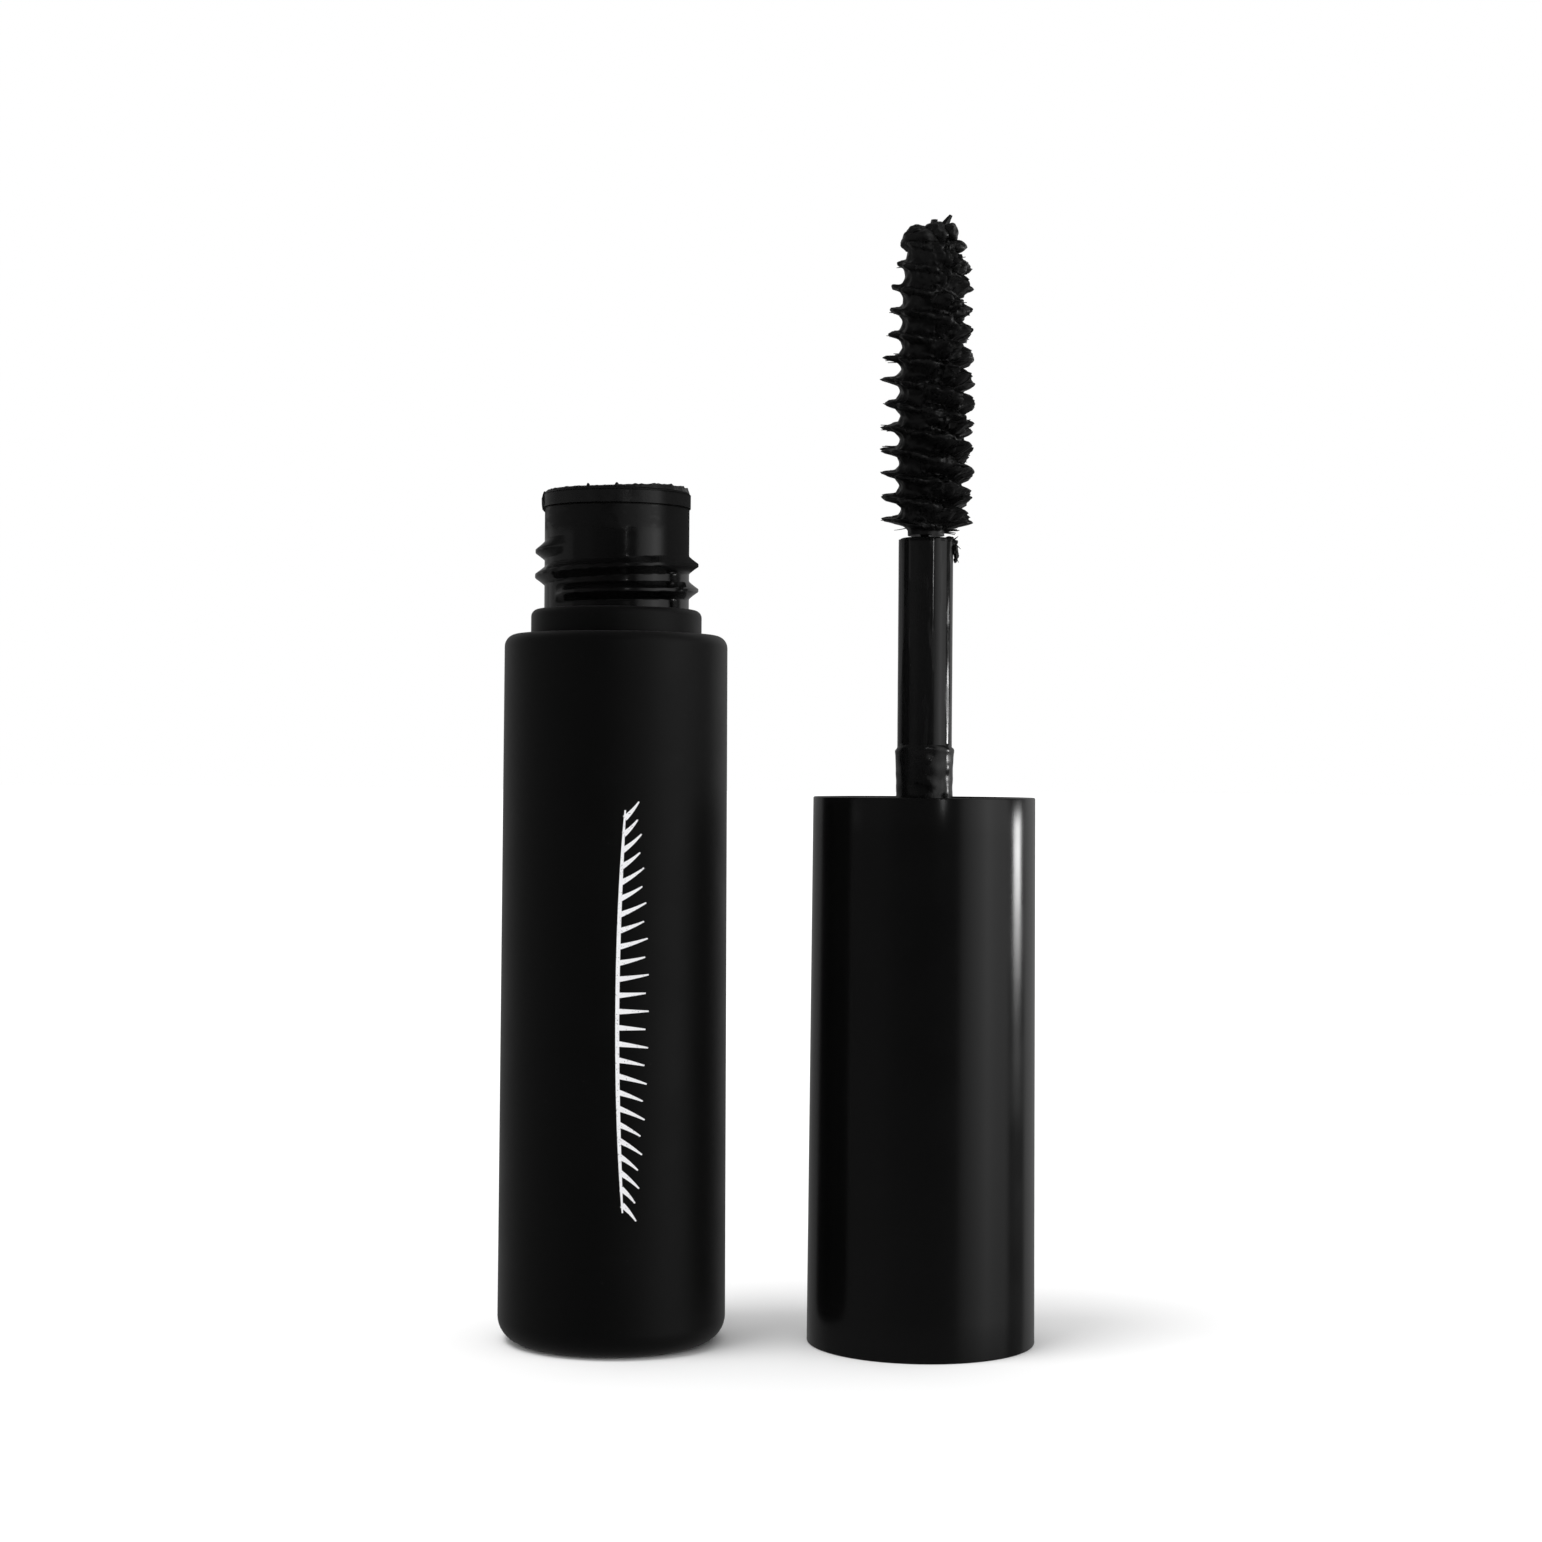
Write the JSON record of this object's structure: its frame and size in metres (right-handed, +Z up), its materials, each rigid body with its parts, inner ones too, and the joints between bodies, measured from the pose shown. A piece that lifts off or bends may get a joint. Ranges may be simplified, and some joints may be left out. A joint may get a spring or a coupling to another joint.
{
  "type": "mascara tube",
  "caption": "Opened mascara: matte black bottle with a threaded neck and wiper, standing beside its upturned cap, whose rod and loaded brush point up.",
  "frame": {"origin": "on the standing surface, midway between the bottle's axis and the cap's axis", "axes": "+Z up along both axes, +X from the bottle to the cap, -Y towards the viewer"},
  "size_m": [0.0427, 0.0182, 0.0897],
  "materials": {
    "soft_touch_black": "matte soft-touch body and collar, glossy bare plastic on the neck",
    "wiper_plastic": "soft semi-matt plastic, smeared with product",
    "mascara": "wet black paste",
    "satin_black": "satin moulded black",
    "liner_plastic": "moulded black, unpolished",
    "seal_foam": "fine closed-cell foam",
    "gloss_black": "glossy black with dried smears",
    "twisted_wire": "twisted stainless wire, coated with product",
    "bristle_nylon": "black filaments clogged with drying product"
  },
  "bodies": {
    "bottle": {"bottle": "soft_touch_black", "wiper": "wiper_plastic", "mascara_paste": "mascara"},
    "seal": {"cap_washer": "seal_foam"},
    "cap_and_wand": {"outer_cap": "satin_black", "inner_cap": "liner_plastic", "rod": "gloss_black", "brush_wire": "twisted_wire", "bristles": "bristle_nylon"}
  },
  "joints": [
    {"name": "cap_lift", "type": "slide", "parent": "bottle", "child": "seal", "axis": [0, 0, 1], "range_m": [0, 0.1]},
    {"name": "cap_turn", "type": "hinge", "parent": "seal", "child": "cap_and_wand", "pos_m": [0.0123, 0, 0], "axis": [0, 0, 1], "continuous": true}
  ]
}
